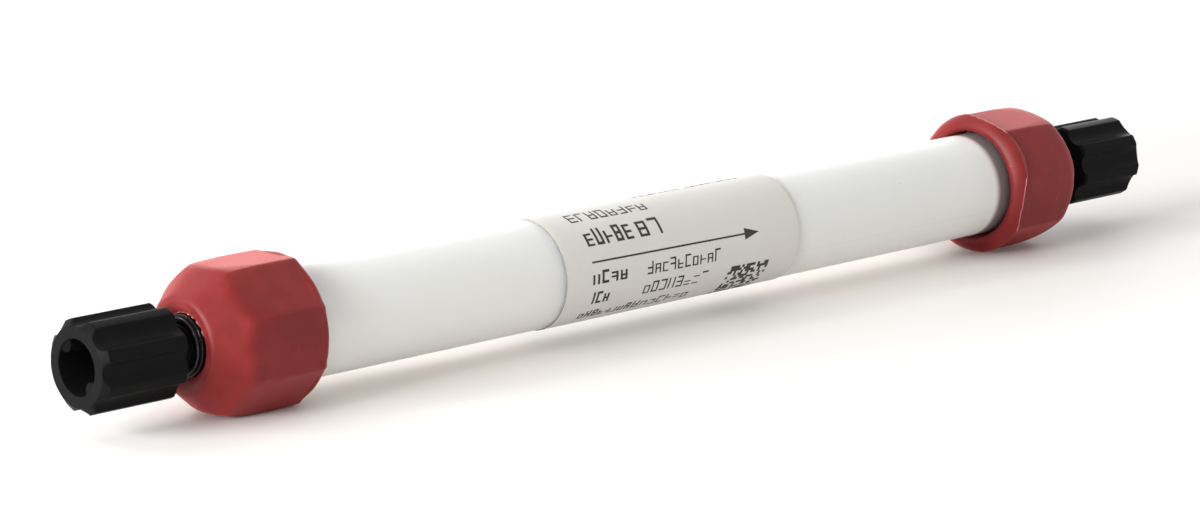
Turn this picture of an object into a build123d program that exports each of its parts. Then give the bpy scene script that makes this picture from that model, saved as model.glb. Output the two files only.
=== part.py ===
from build123d import *

import os
from math import cos, pi, radians, tan

# Prepacked plastic chromatography column with screw caps, end pieces and stop plugs.
#
# The column's axis is X, its inlet end points to -X and the origin is at mid-length.
# Stations along the axis are distances from mid-length, so both ends share them.

# ---- Driving dimensions, in millimetres and degrees ----

# Tube and bed
BED_LENGTH = 100.0
TUBE_BORE_D = 7.7
TUBE_WALL = 2.15
TUBE_END_EXTENSION = 11.6      # tube beyond each end of the bed
LAND_HEIGHT = 0.4              # thicker end of the tube that the cap grips
LAND_LENGTH = 5.4
TUBE_EDGE_CHAMFER = 0.3

# Label
LABEL_LENGTH = 36.1
LABEL_SHIFT = -0.6             # label's middle from mid-length, towards the inlet
LABEL_WIDTH = 36.0             # measured round the tube
LABEL_THICKNESS = 0.1
LABEL_SEAM_DIRECTION = 196.0   # where the label's gap faces, from -Y upwards

# Frits and distributors
FRIT_THICKNESS = 1.0
DISTRIBUTOR_THICKNESS = 0.7
DISTRIBUTOR_GROOVES = 8
GROOVE_WIDTH = 0.5
GROOVE_DEPTH = 0.3
GROOVE_REACH = 3.2

# Adapter, the black end piece
CHANNEL_D = 0.8
SPIGOT_EDGE_CHAMFER = 0.3
FLANGE_D = 11.8
FLANGE_THICKNESS = 1.4
BOSS_D = 6.58
BOSS_LENGTH = 3.9
BOSS_EDGE_ROUNDING = 0.35
PORT_DEPTH = 9.0
PORT_CHAMFER = 0.25
O_RING_CORD_D = 0.99
O_RING_SETBACK = 2.6           # groove's middle from the adapter's inner face

# Cap
CAP_LENGTH = 13.85
CAP_FLATS = 8
CAP_WALL = 1.23                # thinnest wall, in the middle of a flat
CAP_CORNER_ROUNDING = 0.05
NOSE_THICKNESS = 3.9
DISH_DEPTH = 1.0
CREST_WIDTH = 1.38             # from the nose hole's edge to the crest
CREST_ROUNDING = 0.9
DOME_ANGLE = 39.2              # slope of the domed shoulder to the axis
SHOULDER_ROUNDING = 2.5
LIP_SETBACK = 1.15             # flats stop short of the mouth by this much
LIP_WIDTH = 0.97
LIP_ROUNDING = 0.9
MOUTH_BEVEL = 0.28
OUTLET_CAP_TURN = 12.5         # the outlet cap was tightened to another angle

# Stop plug and its ferrule
THREAD_MAJOR_D = 4.83
SHANK_LENGTH = 10.0
FERRULE_LENGTH = 1.2
FERRULE_D = 4.0
FERRULE_NOSE_CHAMFER = 0.5
PIN_D = 1.6
HEAD_D = 9.8
HEAD_LENGTH = 10.5
HEAD_END_CHAMFER = 0.6
HEAD_NECK_CHAMFER = 0.25
FLUTES = 8
FLUTE_CUTTER_R = 1.62
FLUTE_FLOOR_R = 4.14
HEAD_BORE_D = 5.82
HEAD_BORE_DEPTH = 8.0
RIB_R = 0.9
RIB_SETBACK = 0.2
PLUG_LOBE_DIRECTION = {"inlet": 21.0, "outlet": 31.0}

# Clearances
BORE_CLEARANCE = 0.03          # discs and spigots in the tube's bore
PAPER_CLEARANCE = 0.01
LAND_CLEARANCE = 0.03          # tube's land in the cap's bore
BOSS_CLEARANCE = 0.08          # adapter's boss in the cap's nose hole
THREAD_CLEARANCE = 0.05        # plug's shank in the adapter's port
O_RING_CLEARANCE = 0.01
PIN_CLEARANCE = 0.05           # plug's pin in the ferrule
SEAT_CLEARANCE = 0.02          # ferrule's face over the port's floor

# ---- Values that follow ----

bore_r = TUBE_BORE_D / 2
tube_r = bore_r + TUBE_WALL
land_r = tube_r + LAND_HEIGHT
disc_r = bore_r - BORE_CLEARANCE

bed_end = BED_LENGTH / 2
frit_end = bed_end + FRIT_THICKNESS
adapter_start = frit_end + DISTRIBUTOR_THICKNESS
tube_end = bed_end + TUBE_END_EXTENSION
flange_end = tube_end + FLANGE_THICKNESS
boss_end = flange_end + BOSS_LENGTH
boss_r = BOSS_D / 2
shank_r = THREAD_MAJOR_D / 2
port_r = shank_r + THREAD_CLEARANCE
port_floor = boss_end - PORT_DEPTH

nose = flange_end + NOSE_THICKNESS
mouth = nose - CAP_LENGTH
cap_bore_r = land_r + LAND_CLEARANCE
flat_r = cap_bore_r + CAP_WALL
corner_r = flat_r / cos(pi / CAP_FLATS) - CAP_CORNER_ROUNDING
nose_hole_r = boss_r + BOSS_CLEARANCE
crest_r = nose_hole_r + CREST_WIDTH
shoulder = nose - (corner_r - crest_r) / tan(radians(DOME_ANGLE))
cap_turn = {"inlet": 0.0, "outlet": OUTLET_CAP_TURN}

ferrule_start = port_floor + SEAT_CLEARANCE
shank_start = ferrule_start + FERRULE_LENGTH
head_start = shank_start + SHANK_LENGTH
head_end = head_start + HEAD_LENGTH
head_r = HEAD_D / 2
head_bore_r = HEAD_BORE_D / 2
flute_pitch = 360 / FLUTES

ENDS = {"inlet": -1, "outlet": 1}


def station(side, distance):
    """Cross-section plane that faces outwards; local X is -Y of the model."""
    return Plane(origin=(side * distance, 0, 0), x_dir=(0, -1, 0), z_dir=(side, 0, 0))


def lengthwise(side):
    """Plane through the axis; local X runs outwards and local Y is the radius."""
    return Plane(origin=(0, 0, 0), x_dir=(side, 0, 0), z_dir=(0, -side, 0))


os.makedirs("parts", exist_ok=True)

# ---- Tube, bed and label ----

with BuildPart() as column_tube:
    with BuildSketch(Plane.YZ):
        Circle(tube_r)
    extrude(amount=tube_end, both=True)
    for side in ENDS.values():
        with BuildSketch(station(side, tube_end - LAND_LENGTH)):
            Circle(land_r)
        extrude(amount=LAND_LENGTH)
    with BuildSketch(Plane.YZ):
        Circle(bore_r)
    extrude(amount=tube_end, both=True, mode=Mode.SUBTRACT)
    rims = column_tube.edges().filter_by(GeomType.CIRCLE)
    land_rims = rims.filter_by(lambda edge: abs(edge.radius - land_r) < LAND_CLEARANCE)
    chamfer(land_rims, TUBE_EDGE_CHAMFER)
column_tube.part.label = "column_tube"
export_step(column_tube.part, "parts/column_tube.step")

with BuildPart() as packed_bed:
    with BuildSketch(Plane.YZ):
        Circle(disc_r)
    extrude(amount=bed_end, both=True)
packed_bed.part.label = "packed_bed"
export_step(packed_bed.part, "parts/packed_bed.step")

label_inner_r = tube_r + PAPER_CLEARANCE
label_outer_r = label_inner_r + LABEL_THICKNESS
label_gap_angle = 360 - LABEL_WIDTH / label_outer_r * 180 / pi
label_start = LABEL_SHIFT - LABEL_LENGTH / 2

with BuildPart() as label:
    with BuildSketch(station(1, label_start)):
        Circle(label_outer_r)
        Circle(label_inner_r, mode=Mode.SUBTRACT)
        with BuildLine():
            seam_from = -LABEL_SEAM_DIRECTION - label_gap_angle / 2
            seam_arc = CenterArc((0, 0), 2 * label_outer_r, seam_from, label_gap_angle)
            Line((0, 0), seam_arc @ 0)
            Line((0, 0), seam_arc @ 1)
        make_face(mode=Mode.SUBTRACT)
    extrude(amount=LABEL_LENGTH)
label.part.label = "label"
export_step(label.part, "parts/label.step")


# ---- Pieces that each end has ----


def make_frit(end, side):
    """Porous disc that holds the bed."""
    with BuildPart() as frit:
        with BuildSketch(station(side, bed_end)):
            Circle(disc_r)
        extrude(amount=FRIT_THICKNESS)
    frit.part.label = f"{end}_frit"
    export_step(frit.part, f"parts/{end}_frit.step")


def make_distributor(end, side):
    """Disc with a central hole and radial grooves in the face against the frit."""
    with BuildPart() as distributor:
        with BuildSketch(station(side, frit_end)):
            Circle(disc_r)
            Circle(CHANNEL_D / 2, mode=Mode.SUBTRACT)
        extrude(amount=DISTRIBUTOR_THICKNESS)
        with BuildSketch(station(side, frit_end)):
            with PolarLocations(GROOVE_REACH / 2, DISTRIBUTOR_GROOVES):
                Rectangle(GROOVE_REACH, GROOVE_WIDTH)
        extrude(amount=GROOVE_DEPTH, mode=Mode.SUBTRACT)
    distributor.part.label = f"{end}_distributor"
    export_step(distributor.part, f"parts/{end}_distributor.step")


def make_adapter(end, side):
    """Spigot with an O-ring groove, flange against the tube's end, and boss with the threaded port."""
    groove_half = O_RING_CORD_D / 2 + O_RING_CLEARANCE
    groove_middle = adapter_start + O_RING_SETBACK
    groove_floor_r = bore_r - O_RING_CORD_D - 2 * O_RING_CLEARANCE
    with BuildPart() as adapter:
        with BuildSketch(station(side, adapter_start)):
            Circle(disc_r)
        extrude(amount=tube_end - adapter_start)
        chamfer(adapter.edges().group_by(Axis.X)[0 if side > 0 else -1], SPIGOT_EDGE_CHAMFER)
        with BuildSketch(station(side, tube_end)):
            Circle(FLANGE_D / 2)
        extrude(amount=FLANGE_THICKNESS)
        with BuildSketch(station(side, flange_end)):
            Circle(boss_r)
        extrude(amount=BOSS_LENGTH)
        fillet(adapter.edges().group_by(Axis.X)[-1 if side > 0 else 0], BOSS_EDGE_ROUNDING)
        with BuildSketch(station(side, groove_middle - groove_half)):
            Circle(bore_r)
            Circle(groove_floor_r, mode=Mode.SUBTRACT)
        extrude(amount=2 * groove_half, mode=Mode.SUBTRACT)
        with BuildSketch(station(side, port_floor)):
            Circle(port_r)
        extrude(amount=PORT_DEPTH, mode=Mode.SUBTRACT)
        mouth_edges = adapter.edges().filter_by(GeomType.CIRCLE).group_by(Axis.X)[-1 if side > 0 else 0]
        chamfer(mouth_edges.sort_by(SortBy.RADIUS)[0], PORT_CHAMFER)
        with BuildSketch(station(side, adapter_start)):
            Circle(CHANNEL_D / 2)
        extrude(amount=port_floor - adapter_start, mode=Mode.SUBTRACT)
    adapter.part.label = f"{end}_adapter"
    export_step(adapter.part, f"parts/{end}_adapter.step")


def make_adapter_o_ring(end, side):
    """O-ring between the adapter's groove and the tube's bore."""
    ring_middle = adapter_start + O_RING_SETBACK
    ring_r = bore_r - O_RING_CLEARANCE - O_RING_CORD_D / 2
    with BuildPart() as o_ring:
        with BuildSketch(lengthwise(side)):
            with Locations((ring_middle, ring_r)):
                Circle(O_RING_CORD_D / 2)
        revolve(axis=Axis.X)
    o_ring.part.label = f"{end}_adapter_o_ring"
    export_step(o_ring.part, f"parts/{end}_adapter_o_ring.step")


def make_cap(end, side):
    """Eight-sided cap: domed nose with a crest and a dish, flats, and a rounded lip at the mouth."""
    with BuildPart() as cap:
        with BuildSketch(lengthwise(side)):
            with BuildLine():
                outside = FilletPolyline(
                    (nose - DISH_DEPTH, nose_hole_r),
                    (nose, crest_r),
                    (shoulder, corner_r),
                    (mouth + LIP_SETBACK, corner_r),
                    (mouth, cap_bore_r + LIP_WIDTH),
                    (mouth, cap_bore_r + MOUTH_BEVEL),
                    (mouth + MOUTH_BEVEL, cap_bore_r),
                    radius=(CREST_ROUNDING, SHOULDER_ROUNDING, 0, LIP_ROUNDING, MOUTH_BEVEL / 2),
                )
                Polyline(
                    outside @ 1,
                    (flange_end, cap_bore_r),
                    (flange_end, nose_hole_r),
                    outside @ 0,
                )
            make_face()
        revolve(axis=Axis.X)
        with BuildSketch(station(side, mouth)):
            first_corner = 180 / CAP_FLATS + cap_turn[end]
            RegularPolygon(flat_r, CAP_FLATS, major_radius=False, rotation=first_corner)
        extrude(amount=CAP_LENGTH, mode=Mode.INTERSECT)
    cap.part.label = f"{end}_cap"
    export_step(cap.part, f"parts/{end}_cap.step")


def make_ferrule(end, side):
    """Sealing ring that turns freely on the plug's pin and seats on the port's floor."""
    with BuildPart() as ferrule:
        with BuildSketch(station(side, ferrule_start)):
            Circle(FERRULE_D / 2)
        extrude(amount=FERRULE_LENGTH)
        chamfer(ferrule.edges().group_by(Axis.X)[0 if side > 0 else -1], FERRULE_NOSE_CHAMFER)
        with BuildSketch(station(side, ferrule_start)):
            Circle(PIN_D / 2 + PIN_CLEARANCE)
        extrude(amount=FERRULE_LENGTH, mode=Mode.SUBTRACT)
    ferrule.part.label = f"{end}_ferrule"
    export_step(ferrule.part, f"parts/{end}_ferrule.step")


def make_plug(end, side):
    """Fluted head with a ribbed bore, a shank for the port's thread and a pin for the ferrule."""
    lobe_direction = -side * PLUG_LOBE_DIRECTION[end]
    flute_direction = lobe_direction + flute_pitch / 2
    rib_direction = flute_direction - 2 * side * flute_pitch
    with BuildPart() as plug:
        with BuildSketch(station(side, head_start)):
            Circle(head_r)
        extrude(amount=HEAD_LENGTH)
        rims = plug.edges().filter_by(GeomType.CIRCLE).sort_by(Axis.X, reverse=side < 0)
        chamfer(rims[0], HEAD_NECK_CHAMFER)
        outer_rim = plug.edges().filter_by(GeomType.CIRCLE).sort_by(Axis.X, reverse=side < 0)[-1]
        chamfer(outer_rim, HEAD_END_CHAMFER, head_r - FLUTE_FLOOR_R)
        with BuildSketch(station(side, head_start)):
            with PolarLocations(FLUTE_FLOOR_R + FLUTE_CUTTER_R, FLUTES, start_angle=flute_direction):
                Circle(FLUTE_CUTTER_R)
        extrude(amount=HEAD_LENGTH, mode=Mode.SUBTRACT)
        with BuildSketch(station(side, head_end - HEAD_BORE_DEPTH)):
            Circle(head_bore_r)
        extrude(amount=HEAD_BORE_DEPTH, mode=Mode.SUBTRACT)
        with BuildSketch(station(side, head_end - HEAD_BORE_DEPTH)):
            with PolarLocations(head_bore_r, 2, start_angle=rib_direction):
                Circle(RIB_R)
            Circle(head_bore_r, mode=Mode.INTERSECT)
        extrude(amount=HEAD_BORE_DEPTH - RIB_SETBACK)
        with BuildSketch(station(side, shank_start)):
            Circle(shank_r)
        extrude(amount=SHANK_LENGTH)
        with BuildSketch(station(side, ferrule_start + SEAT_CLEARANCE)):
            Circle(PIN_D / 2)
        extrude(amount=FERRULE_LENGTH - SEAT_CLEARANCE)
    plug.part.label = f"{end}_plug"
    export_step(plug.part, f"parts/{end}_plug.step")


for end, side in ENDS.items():
    make_frit(end, side)
    make_distributor(end, side)
    make_adapter(end, side)
    make_adapter_o_ring(end, side)
    make_cap(end, side)
    make_ferrule(end, side)
    make_plug(end, side)
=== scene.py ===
"""Looks of the chromatography column: finished meshes, finishes, studio light and camera."""
import math

import bmesh
import bpy
import numpy as np
from mathutils import Euler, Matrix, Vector


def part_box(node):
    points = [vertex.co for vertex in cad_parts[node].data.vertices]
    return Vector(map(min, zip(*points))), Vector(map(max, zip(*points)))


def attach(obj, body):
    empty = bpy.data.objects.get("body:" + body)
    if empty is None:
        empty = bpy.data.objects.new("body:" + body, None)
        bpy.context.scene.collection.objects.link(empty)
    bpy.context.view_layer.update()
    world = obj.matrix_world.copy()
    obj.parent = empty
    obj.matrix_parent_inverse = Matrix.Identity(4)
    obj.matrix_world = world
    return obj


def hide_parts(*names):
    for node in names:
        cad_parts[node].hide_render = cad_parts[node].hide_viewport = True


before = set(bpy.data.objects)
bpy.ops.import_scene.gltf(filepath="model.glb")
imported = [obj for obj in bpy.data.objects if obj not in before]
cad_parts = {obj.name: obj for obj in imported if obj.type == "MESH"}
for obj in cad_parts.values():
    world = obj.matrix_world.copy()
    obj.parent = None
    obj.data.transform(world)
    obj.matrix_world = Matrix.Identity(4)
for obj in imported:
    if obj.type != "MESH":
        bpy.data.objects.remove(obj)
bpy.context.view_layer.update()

MM = 0.001
ENDS = {"inlet": -1, "outlet": 1}


def box_mm(node):
    """Lowest and highest corner of a CAD node, in millimetres."""
    low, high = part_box(node)
    return np.array(low) / MM, np.array(high) / MM


# ---- Sizes read from the frame, in millimetres; stations are distances from mid-length ----

TUBE_HIGH = box_mm("column_tube")[1]
BED_HIGH = box_mm("packed_bed")[1]
LABEL_LOW, LABEL_HIGH = box_mm("label")
CAP_LOW = box_mm("outlet_cap")[0]
LEVEL_CAP_HIGH = box_mm("inlet_cap")[1]
ADAPTER_LOW, ADAPTER_HIGH = box_mm("outlet_adapter")
PLUG_LOW, PLUG_HIGH = box_mm("outlet_plug")
FERRULE_HIGH = box_mm("outlet_ferrule")[1]

# Degrees between neighbouring columns of a piece's grid.
DIRECTION_STEP = {"tube": 2.0, "adapter": 2.5, "plug": 1.5}

BORE_CLEARANCE = 0.03
TUBE_END = TUBE_HIGH[0]
LAND_R = TUBE_HIGH[2]
LAND_LENGTH = 5.4
BORE_R = BED_HIGH[2] + BORE_CLEARANCE
LABEL_R = LABEL_HIGH[2]
LABEL_THICKNESS = 0.1
LABEL_GAP = 0.01
TUBE_R = LABEL_R - LABEL_THICKNESS - LABEL_GAP

ADAPTER_START = ADAPTER_LOW[0]
BOSS_END = ADAPTER_HIGH[0]
BOSS_R = 3.29
BOSS_STEP = 0.16
BOSS_STEP_LENGTH = 0.55
FLANGE_R = ADAPTER_HIGH[2]
FLANGE_THICKNESS = 1.4
FLANGE_END = TUBE_END + FLANGE_THICKNESS
CHANNEL_R = 0.4
O_RING_CORD_R = 0.505
O_RING_SETBACK = 2.6
O_RING_MIDDLE = ADAPTER_START + O_RING_SETBACK
PORT_DEPTH = 9.0
PORT_FLOOR = BOSS_END - PORT_DEPTH
PORT_CHAMFER = 0.25

# The inlet cap isn't turned, so its highest point lies on a flat.
FLATS = 8
FLAT_STEP = 360 / FLATS
FLAT_R = LEVEL_CAP_HIGH[2]
CORNER_TRIM = 0.05
CORNER_R = FLAT_R / math.cos(math.pi / FLATS) - CORNER_TRIM
MOUTH = CAP_LOW[0]
MOUTH_BEVEL = 0.28
CAP_CLEARANCE = 0.03
CAP_BORE_R = LAND_R + CAP_CLEARANCE
LIP_WALL = 0.52
LIP_R = CAP_BORE_R + LIP_WALL
NOSE = BOSS_END
NOSE_CLEARANCE = 0.08
NOSE_HOLE_R = BOSS_R + NOSE_CLEARANCE
CREST_WIDTH = 1.38
CREST_R = NOSE_HOLE_R + CREST_WIDTH
DISH_DEPTH = 1.0
DOME_ANGLE = math.radians(39.2)
SHOULDER = NOSE - (CORNER_R - CREST_R) / math.tan(DOME_ANGLE)
CAP_TURN = {"inlet": 0.0, "outlet": 12.5}

PITCH = 0.79375
THREAD_DEPTH = 0.4
THREAD_CREST = 0.09
THREAD_FLANK = THREAD_DEPTH * math.tan(math.radians(30))
THREAD_STEP = PITCH / 12
SHANK_R = 2.415
SHANK_START = FERRULE_HIGH[0]
RELIEF_R = SHANK_R - THREAD_DEPTH * 0.3
PORT_CLEARANCE = 0.05
PORT_R = SHANK_R + PORT_CLEARANCE
HEAD_LENGTH = 10.5
HEAD_END = PLUG_HIGH[0]
HEAD_START = HEAD_END - HEAD_LENGTH
HEAD_R = 4.9
HEAD_CHAMFER = 0.25
HEAD_TAPER = 0.6
FLUTE_FLOOR_R = 4.14
FLUTE_CUTTER_R = 1.62
HEAD_BORE_R = 2.91
HEAD_BORE_DEPTH = 8.0
HEAD_BORE_FLOOR = HEAD_END - HEAD_BORE_DEPTH
RIB_R = 0.9
RIB_SETBACK = 0.2
PIN_R = 0.8
PIN_START = PLUG_LOW[0]
PLUG_LOBE_DIRECTION = {"inlet": 21.0, "outlet": 31.0}


# ---- Meshes laid out as grids: rows follow a profile, columns go round the column's axis ----


def around(side, stations, radii, directions):
    """Points at outward stations and radii; a direction is in degrees from -Y towards +Z."""
    turn = np.radians(directions)
    stations, radii, turn = np.broadcast_arrays(stations, radii, turn)
    return np.stack([side * stations, -radii * np.cos(turn), radii * np.sin(turn)], axis=-1) * MM


def rounded_path(corners, radii, step, closed=False):
    """Profile points: straight runs cut every step, with an arc of the given radius at each corner."""
    corners = [np.array(corner, float) for corner in corners]
    pieces = []
    for place, (corner, radius) in enumerate(zip(corners, radii)):
        if radius == 0:
            pieces.append([corner])
            continue
        back = corners[place - 1] - corner
        ahead = corners[(place + 1) % len(corners)] - corner
        back, ahead = back / np.linalg.norm(back), ahead / np.linalg.norm(ahead)
        half = math.acos(np.clip(back @ ahead, -1, 1)) / 2
        middle = corner + (back + ahead) / np.linalg.norm(back + ahead) * radius / math.sin(half)
        first = corner + back * radius / math.tan(half) - middle
        last = corner + ahead * radius / math.tan(half) - middle
        bend = math.pi - 2 * half
        shares = np.linspace(0, 1, max(3, math.ceil(bend / math.radians(10)) + 1))
        pieces.append([
            middle
            + (math.sin((1 - share) * bend) * first + math.sin(share * bend) * last) / math.sin(bend)
            for share in shares
        ])
    if closed:
        pieces.append([pieces[0][0]])
    path = list(pieces[0])
    for piece in pieces[1:]:
        run = np.linalg.norm(piece[0] - path[-1])
        count = max(1, round(run / step))
        path += [path[-1] + (piece[0] - path[-1]) * k / count for k in range(1, count)]
        path += piece
    if closed:
        path.pop()
    return np.array(path)


def smaller(first, second, blend):
    """The smaller of two radii, with a rounded change from one to the other."""
    gap = np.clip(0.5 + 0.5 * (second - first) / blend, 0, 1)
    return second * (1 - gap) + first * gap - blend * gap * (1 - gap)


def grid_mesh(name, points, loop_rows=False, loop_columns=True, flash_paling=None):
    """Closed mesh of a grid of points; rows of equal points become poles. A paling share for the colour is
    stored per point.
    """
    rows, columns = points.shape[:2]
    index = np.arange(rows * columns).reshape(rows, columns)
    near = index if loop_rows else index[:-1]
    far = np.roll(index, -1, axis=0) if loop_rows else index[1:]
    if loop_columns:
        next_near, next_far = np.roll(near, -1, axis=1), np.roll(far, -1, axis=1)
    else:
        near, far, next_near, next_far = near[:, :-1], far[:, :-1], near[:, 1:], far[:, 1:]
    faces = np.stack([near, next_near, next_far, far], axis=-1).reshape(-1, 4).tolist()
    if not loop_columns:
        faces += [index[:, 0].tolist(), index[::-1, -1].tolist()]
    mesh = bpy.data.meshes.new(name)
    mesh.from_pydata(points.reshape(-1, 3), [], faces)
    if flash_paling is not None:
        mesh.attributes.new("flash_paling", "FLOAT", "POINT").data.foreach_set("value", flash_paling.ravel())
    shell = bmesh.new()
    shell.from_mesh(mesh)
    bmesh.ops.remove_doubles(shell, verts=shell.verts, dist=1e-8)
    bmesh.ops.dissolve_degenerate(shell, edges=shell.edges, dist=1e-8)
    bmesh.ops.recalc_face_normals(shell, faces=shell.faces)
    for face in shell.faces:
        face.smooth = True
    shell.to_mesh(mesh)
    shell.free()
    return mesh


def finished_piece(name, mesh, finish, body, slot, *nodes):
    """Puts a mesh in the scene as a finished piece that rides on a body and stands for CAD nodes."""
    piece = bpy.data.objects.new(name, mesh)
    bpy.context.scene.collection.objects.link(piece)
    mesh.materials.append(finish)
    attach(piece, body)
    if nodes:
        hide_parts(*nodes)


# ---- Node trees written as Python expressions ----


class Wire:
    """An output of a node tree that takes part in expressions; each operation adds a Math node."""

    def __init__(self, tree, socket):
        self.tree = tree
        self.socket = socket

    def math(self, operation, *values):
        return self.tree.node("ShaderNodeMath", {"operation": operation}, dict(enumerate(values)))

    def __add__(self, other):
        return self.math("ADD", self, other)

    def __radd__(self, other):
        return self.math("ADD", other, self)

    def __sub__(self, other):
        return self.math("SUBTRACT", self, other)

    def __rsub__(self, other):
        return self.math("SUBTRACT", other, self)

    def __mul__(self, other):
        return self.math("MULTIPLY", self, other)

    def __rmul__(self, other):
        return self.math("MULTIPLY", other, self)

    def __truediv__(self, other):
        return self.math("DIVIDE", self, other)

    def size(self):
        return self.math("ABSOLUTE", self)

    def sine(self):
        return self.math("SINE", self)

    def cosine(self):
        return self.math("COSINE", self)

    def rise(self, low, high):
        """0 below low and 1 above high, with a smooth change between; low may be the larger."""
        settings = {"interpolation_type": "SMOOTHSTEP"}
        ends = {"Value": self, "From Min": low, "From Max": high}
        return self.tree.node("ShaderNodeMapRange", settings, ends)


class Tree:
    """A node tree under construction."""

    def __init__(self, node_tree):
        self.nodes = node_tree.nodes
        self.links = node_tree.links

    def node(self, kind, settings=None, sockets=None, output=0):
        """Adds a node: settings first, then a value or a wire for each named socket."""
        made = self.nodes.new(kind)
        for name, value in (settings or {}).items():
            setattr(made, name, value)
        for name, value in (sockets or {}).items():
            self.feed(made.inputs[name], value)
        return Wire(self, made.outputs[output])

    def random(self, seed):
        """A random number between 0 and 1 for each point."""
        settings = {"data_type": "FLOAT"}
        return self.node("FunctionNodeRandomValue", settings, {"Seed": seed}, output="Value")

    def feed(self, socket, value):
        """Links a wire to a socket, or sets the socket to a value."""
        if isinstance(value, Wire):
            self.links.new(value.socket, socket)
        else:
            socket.default_value = value


class Finish(Tree):
    """A procedural material on object coordinates."""

    def __init__(self, name, **constants):
        self.material = bpy.data.materials.new(name)
        self.material.use_nodes = True
        super().__init__(self.material.node_tree)
        self.shader = self.nodes["Principled BSDF"]
        for socket, value in constants.items():
            self.shader.inputs[socket.replace("_", " ")].default_value = value
        self.place = self.node("ShaderNodeTexCoord", output="Object")

    def apart(self):
        """The object coordinates in millimetres, as three wires."""
        parts = [
            self.node("ShaderNodeSeparateXYZ", None, {"Vector": self.place}, output=axis)
            for axis in range(3)
        ]
        return [part * (1 / MM) for part in parts]

    def noise(self, grain_mm, detail=2.0, stretch=(1, 1, 1)):
        """Noise from 0 to 1 whose blotches are about grain_mm wide, longer along a stretched axis."""
        scale = [1 / (grain_mm * MM * share) for share in stretch]
        moved = self.node("ShaderNodeMapping", None, {"Vector": self.place, "Scale": scale})
        sockets = {"Vector": moved, "Scale": 1.0, "Detail": detail}
        return self.node("ShaderNodeTexNoise", None, sockets)

    def specks(self, spacing_mm, radius_mm, share):
        """1 inside small round specks; share of the cells between 0 and 1 hold one."""
        sockets = {"Vector": self.place, "Scale": 1 / (spacing_mm * MM)}
        distance = self.node("ShaderNodeTexVoronoi", None, sockets, output="Distance")
        colour = self.node("ShaderNodeTexVoronoi", None, sockets, output="Color")
        chance = self.node("ShaderNodeSeparateColor", None, {"Color": colour}, output="Red")
        size = self.node("ShaderNodeSeparateColor", None, {"Color": colour}, output="Green")
        reach = size * (radius_mm / spacing_mm)
        return distance.math("LESS_THAN", distance, reach) * chance.math("LESS_THAN", chance, share)

    def mix(self, share, first, second):
        """Colour that goes from first to second as share goes from 0 to 1."""
        made = self.nodes.new("ShaderNodeMix")
        made.data_type = "RGBA"
        self.feed(made.inputs[0], share)
        for socket, colour in ((made.inputs[6], first), (made.inputs[7], second)):
            self.feed(socket, colour if isinstance(colour, Wire) else (*colour, 1))
        return Wire(self, made.outputs[2])

    def set(self, socket, value):
        """Feeds a socket of the shader."""
        self.feed(self.shader.inputs[socket], value)

    def bump(self, height, depth_mm):
        """Small relief: height from 0 to 1 stands depth_mm high."""
        sockets = {"Height": height, "Distance": depth_mm * MM, "Strength": 1.0}
        self.set("Normal", self.node("ShaderNodeBump", None, sockets))


# ---- Finishes ----


def cap_red():
    """Matt red moulded plastic with a fine grain, a little dust, and paler colour along the parting line's
    flash and the nose hole's torn edge.
    """
    finish = Finish(
        "cap_red",
        IOR=1.5,
        Specular_IOR_Level=0.22,
        Sheen_Weight=0.5,
        Sheen_Roughness=0.5,
        Sheen_Tint=(1, 0.16, 0.15, 1),
    )
    blotch = finish.noise(3.5, 3)
    grain = finish.noise(0.16, 2)
    dust = finish.specks(0.9, 0.06, 0.1)
    nick = finish.specks(1.3, 0.07, 0.07)
    body = finish.mix(blotch.rise(0.35, 0.7), (0.145, 0.0095, 0.0095), (0.185, 0.0135, 0.0135))
    body = finish.mix(grain.rise(0.3, 0.75) * 0.25, body, (0.105, 0.0078, 0.0078))
    flash_pale = finish.node("ShaderNodeAttribute", {"attribute_name": "flash_paling"}, output="Fac")
    # Paler along the flash of the parting line and on the torn edge of the nose hole.
    body = finish.mix(flash_pale * 0.85, body, (0.72, 0.3, 0.29))
    body = finish.mix(dust * 0.7, body, (0.75, 0.55, 0.52))
    body = finish.mix(nick * 0.6, body, (0.06, 0.01, 0.012))
    finish.set("Base Color", body)
    finish.set("Roughness", 0.38 + 0.1 * blotch + 0.06 * grain)
    finish.bump(grain + 0.5 * finish.noise(0.5, 2), 0.012)
    return finish.material


def adapter_black():
    """Glossy black moulded plastic with faint flow marks."""
    finish = Finish("adapter_black", IOR=1.52, Specular_IOR_Level=0.4)
    ripple = finish.noise(1.6, 2)
    dust = finish.specks(0.8, 0.05, 0.1)
    finish.set("Base Color", finish.mix(dust * 0.5, (0.006, 0.006, 0.007), (0.2, 0.19, 0.18)))
    finish.set("Roughness", 0.16 + 0.08 * ripple)
    finish.bump(ripple + 0.3 * finish.noise(0.3, 1), 0.02)
    return finish.material


def plug_black():
    """Satin black moulded plastic with a fine grain and a little dust."""
    finish = Finish("plug_black", IOR=1.5, Specular_IOR_Level=0.04)
    grain = finish.noise(0.12, 2)
    blotch = finish.noise(2.0, 3)
    dust = finish.specks(0.7, 0.05, 0.12)
    body = finish.mix(blotch, (0.005, 0.005, 0.0052), (0.009, 0.0088, 0.0088))
    finish.set("Base Color", finish.mix(dust * 0.6, body, (0.3, 0.28, 0.26)))
    finish.set("Roughness", 0.3 + 0.1 * blotch + 0.06 * grain)
    finish.bump(grain + finish.noise(0.6, 1), 0.012)
    return finish.material


# Where each end piece's painted shade in the tube begins and is full, in mm from the end piece's start.
# The inlet's begins further out, so that its cap hides it.
SHADE_FROM_TO = {"inlet": (0.35, 1.2), "outlet": (-0.75, 0.45)}
SHADE_DEPTH = 0.85


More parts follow.
